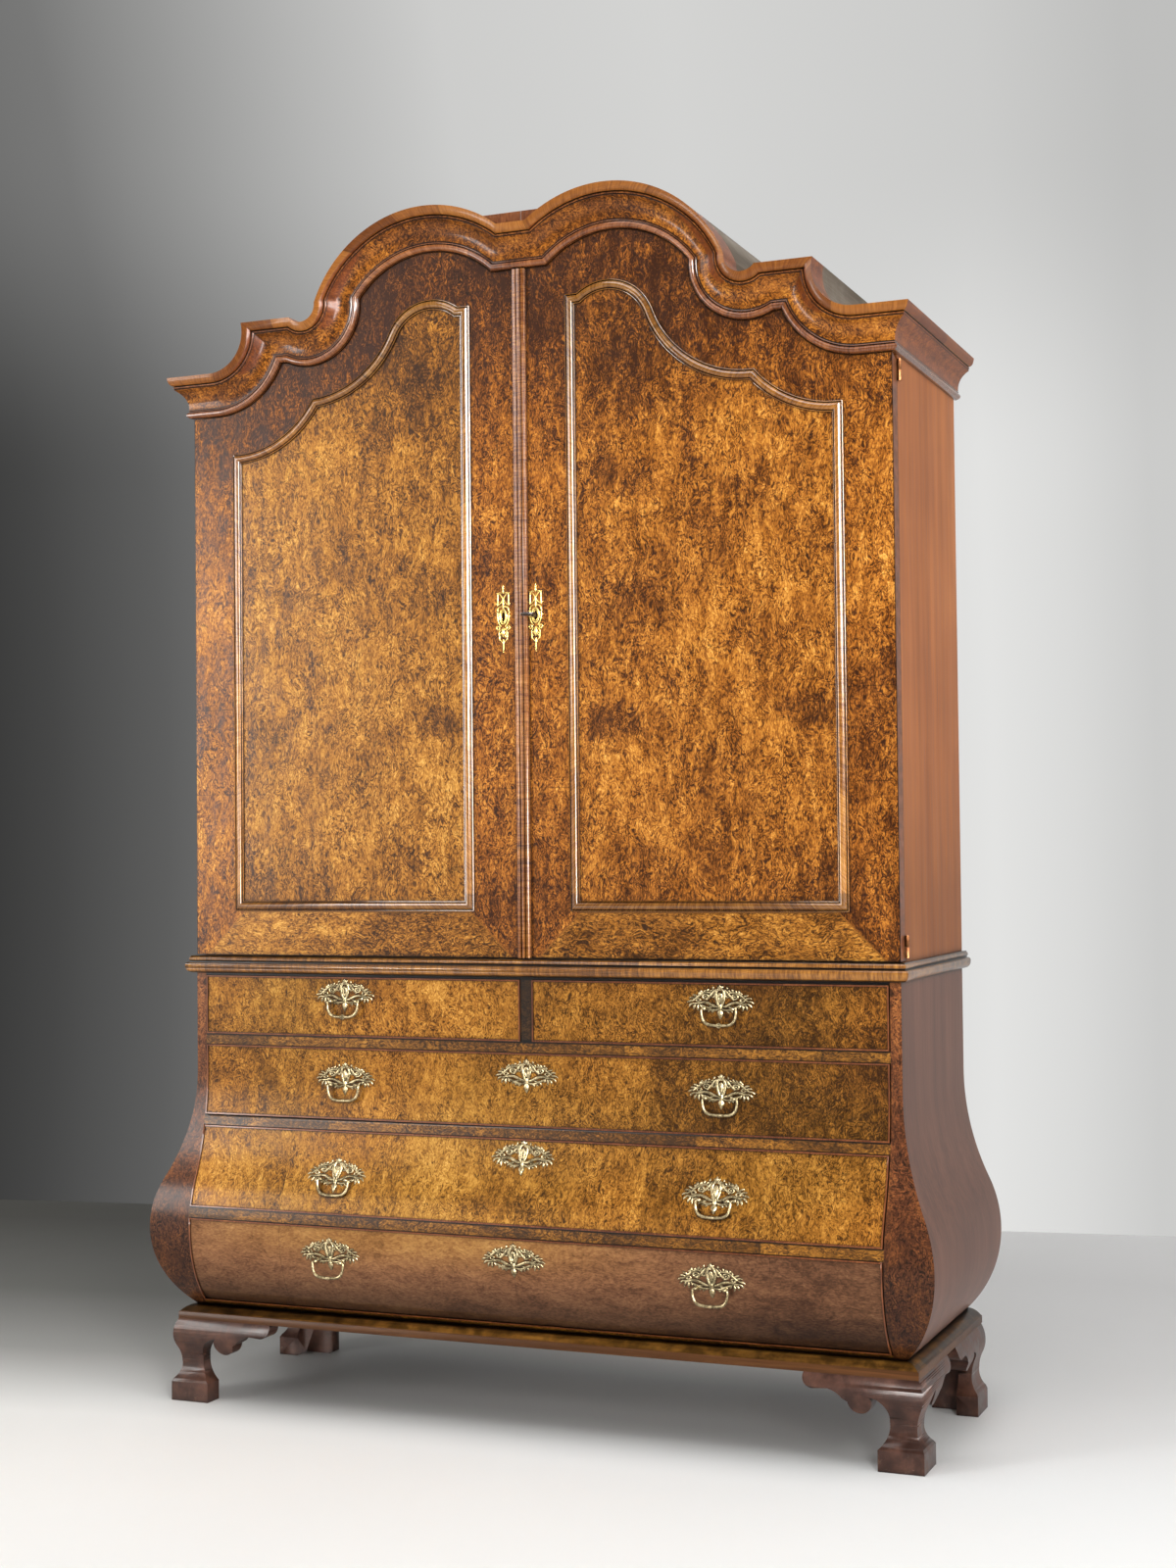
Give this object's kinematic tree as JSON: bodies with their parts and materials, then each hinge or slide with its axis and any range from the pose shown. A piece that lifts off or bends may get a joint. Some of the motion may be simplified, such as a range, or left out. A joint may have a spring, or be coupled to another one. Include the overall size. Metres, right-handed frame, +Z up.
{
  "type": "kas cupboard",
  "caption": "Tall walnut-veneered linen cupboard with arched panelled doors under a shaped cornice, on a chest of drawers that swells out in front and at the sides, with swinging brass bails.",
  "frame": {"origin": "on the floor, below the middle of the bounding box", "axes": "+X to the right seen from the front, +Y to the back, +Z up; the doors face -Y"},
  "size_m": [1.753, 0.6204, 2.5699],
  "materials": {
    "case_wood": "satin",
    "burr_wood": "polished",
    "banded_wood": "polished",
    "side_wood": "satin",
    "bead_wood": "satin",
    "foot_wood": "satin",
    "inner_wood": "matte",
    "brass": "polished",
    "old_brass": "satin",
    "iron": "satin",
    "steel": "brushed"
  },
  "bodies": {
    "cabinet": {"foot_front_left": "foot_wood", "foot_front_right": "foot_wood", "foot_rear_left": "foot_wood", "foot_rear_right": "foot_wood", "plinth_frame": "banded_wood", "lower_left_side": "side_wood", "lower_right_side": "side_wood", "drawer_rails": "burr_wood", "drawer_runners": "inner_wood", "lower_boards": "inner_wood", "waist_moulding": "banded_wood", "upper_left_side": "side_wood", "upper_right_side": "side_wood", "shelves": "inner_wood", "upper_back": "inner_wood", "door_header": "inner_wood", "cornice_front": "burr_wood", "cornice_bead": "banded_wood", "cornice_returns": "burr_wood", "roof_boards": "inner_wood", "vase_platform": "case_wood", "case_hinges": "brass"},
    "left_door": {"left_door_panel": "burr_wood", "left_door_moulding": "banded_wood", "left_door_brasses": "brass"},
    "right_door": {"right_door_panel": "burr_wood", "right_door_moulding": "banded_wood", "right_door_brasses": "brass", "astragal": "banded_wood", "door_lock": "iron"},
    "bolt": {"lock_bolt": "steel"},
    "key": {"door_key": "iron"},
    "drawer_top_left": {"drawer_top_left_front": "burr_wood", "drawer_top_left_cockbead": "bead_wood", "drawer_top_left_box": "inner_wood", "drawer_top_left_brasses": "old_brass"},
    "drawer_top_right": {"drawer_top_right_front": "burr_wood", "drawer_top_right_cockbead": "bead_wood", "drawer_top_right_box": "inner_wood", "drawer_top_right_brasses": "old_brass"},
    "drawer_second": {"drawer_second_front": "burr_wood", "drawer_second_cockbead": "bead_wood", "drawer_second_box": "inner_wood", "drawer_second_brasses": "old_brass"},
    "drawer_third": {"drawer_third_front": "burr_wood", "drawer_third_cockbead": "bead_wood", "drawer_third_box": "inner_wood", "drawer_third_brasses": "old_brass"},
    "drawer_bottom": {"drawer_bottom_front": "burr_wood", "drawer_bottom_cockbead": "bead_wood", "drawer_bottom_box": "inner_wood", "drawer_bottom_brasses": "old_brass"},
    "bail_top_left_ring": {"bail_top_left": "old_brass"},
    "bail_top_right_ring": {"bail_top_right": "old_brass"},
    "bail_second_left_ring": {"bail_second_left": "old_brass"},
    "bail_second_right_ring": {"bail_second_right": "old_brass"},
    "bail_third_left_ring": {"bail_third_left": "old_brass"},
    "bail_third_right_ring": {"bail_third_right": "old_brass"},
    "bail_bottom_left_ring": {"bail_bottom_left": "old_brass"},
    "bail_bottom_right_ring": {"bail_bottom_right": "old_brass"}
  },
  "joints": [
    {"name": "left_door_swing", "type": "hinge", "parent": "cabinet", "child": "left_door", "pos_m": [-0.8045, -0.175, 1.5], "axis": [0, 0, -1], "range_deg": [0, 110]},
    {"name": "right_door_swing", "type": "hinge", "parent": "cabinet", "child": "right_door", "pos_m": [0.8045, -0.175, 1.5], "axis": [0, 0, 1], "range_deg": [0, 110]},
    {"name": "key_turn", "type": "hinge", "parent": "right_door", "child": "key", "pos_m": [0.031, -0.175, 1.69], "axis": [0, 1, 0], "range_deg": [0, 180]},
    {"name": "bolt_slide", "type": "slide", "parent": "right_door", "child": "bolt", "axis": [-1, 0, 0], "range_m": [0, 0.026]},
    {"name": "drawer_top_left_slide", "type": "slide", "parent": "cabinet", "child": "drawer_top_left", "axis": [0, -1, 0], "range_m": [0, 0.35]},
    {"name": "drawer_top_right_slide", "type": "slide", "parent": "cabinet", "child": "drawer_top_right", "axis": [0, -1, 0], "range_m": [0, 0.35]},
    {"name": "drawer_second_slide", "type": "slide", "parent": "cabinet", "child": "drawer_second", "axis": [0, -1, 0], "range_m": [0, 0.35]},
    {"name": "drawer_third_slide", "type": "slide", "parent": "cabinet", "child": "drawer_third", "axis": [0, -1, 0], "range_m": [0, 0.35]},
    {"name": "drawer_bottom_slide", "type": "slide", "parent": "cabinet", "child": "drawer_bottom", "axis": [0, -1, 0], "range_m": [0, 0.35]},
    {"name": "bail_top_left_swing", "type": "hinge", "parent": "drawer_top_left", "child": "bail_top_left_ring", "pos_m": [-0.428, -0.223, 0.879], "axis": [-1, 0, 0], "range_deg": [0, 110]},
    {"name": "bail_top_right_swing", "type": "hinge", "parent": "drawer_top_right", "child": "bail_top_right_ring", "pos_m": [0.428, -0.223, 0.879], "axis": [-1, 0, 0], "range_deg": [0, 110]},
    {"name": "bail_second_left_swing", "type": "hinge", "parent": "drawer_second", "child": "bail_second_left_ring", "pos_m": [-0.428, -0.2234, 0.69947], "axis": [-1, 0, 0], "range_deg": [0, 110]},
    {"name": "bail_second_right_swing", "type": "hinge", "parent": "drawer_second", "child": "bail_second_right_ring", "pos_m": [0.428, -0.2234, 0.69947], "axis": [-1, 0, 0], "range_deg": [0, 110]},
    {"name": "bail_third_left_swing", "type": "hinge", "parent": "drawer_third", "child": "bail_third_left_ring", "pos_m": [-0.428, -0.26966, 0.50395], "axis": [-1, 0, 0], "range_deg": [0, 95]},
    {"name": "bail_third_right_swing", "type": "hinge", "parent": "drawer_third", "child": "bail_third_right_ring", "pos_m": [0.428, -0.26966, 0.50395], "axis": [-1, 0, 0], "range_deg": [0, 95]},
    {"name": "bail_bottom_left_swing", "type": "hinge", "parent": "drawer_bottom", "child": "bail_bottom_left_ring", "pos_m": [-0.428, -0.29473, 0.3337], "axis": [-1, 0, 0], "range_deg": [0, 110]},
    {"name": "bail_bottom_right_swing", "type": "hinge", "parent": "drawer_bottom", "child": "bail_bottom_right_ring", "pos_m": [0.428, -0.29473, 0.3337], "axis": [-1, 0, 0], "range_deg": [0, 110]}
  ],
  "couplings": [
    {"joint": "key_turn", "follows": "bolt_slide", "rad_per_m": 120.83}
  ]
}
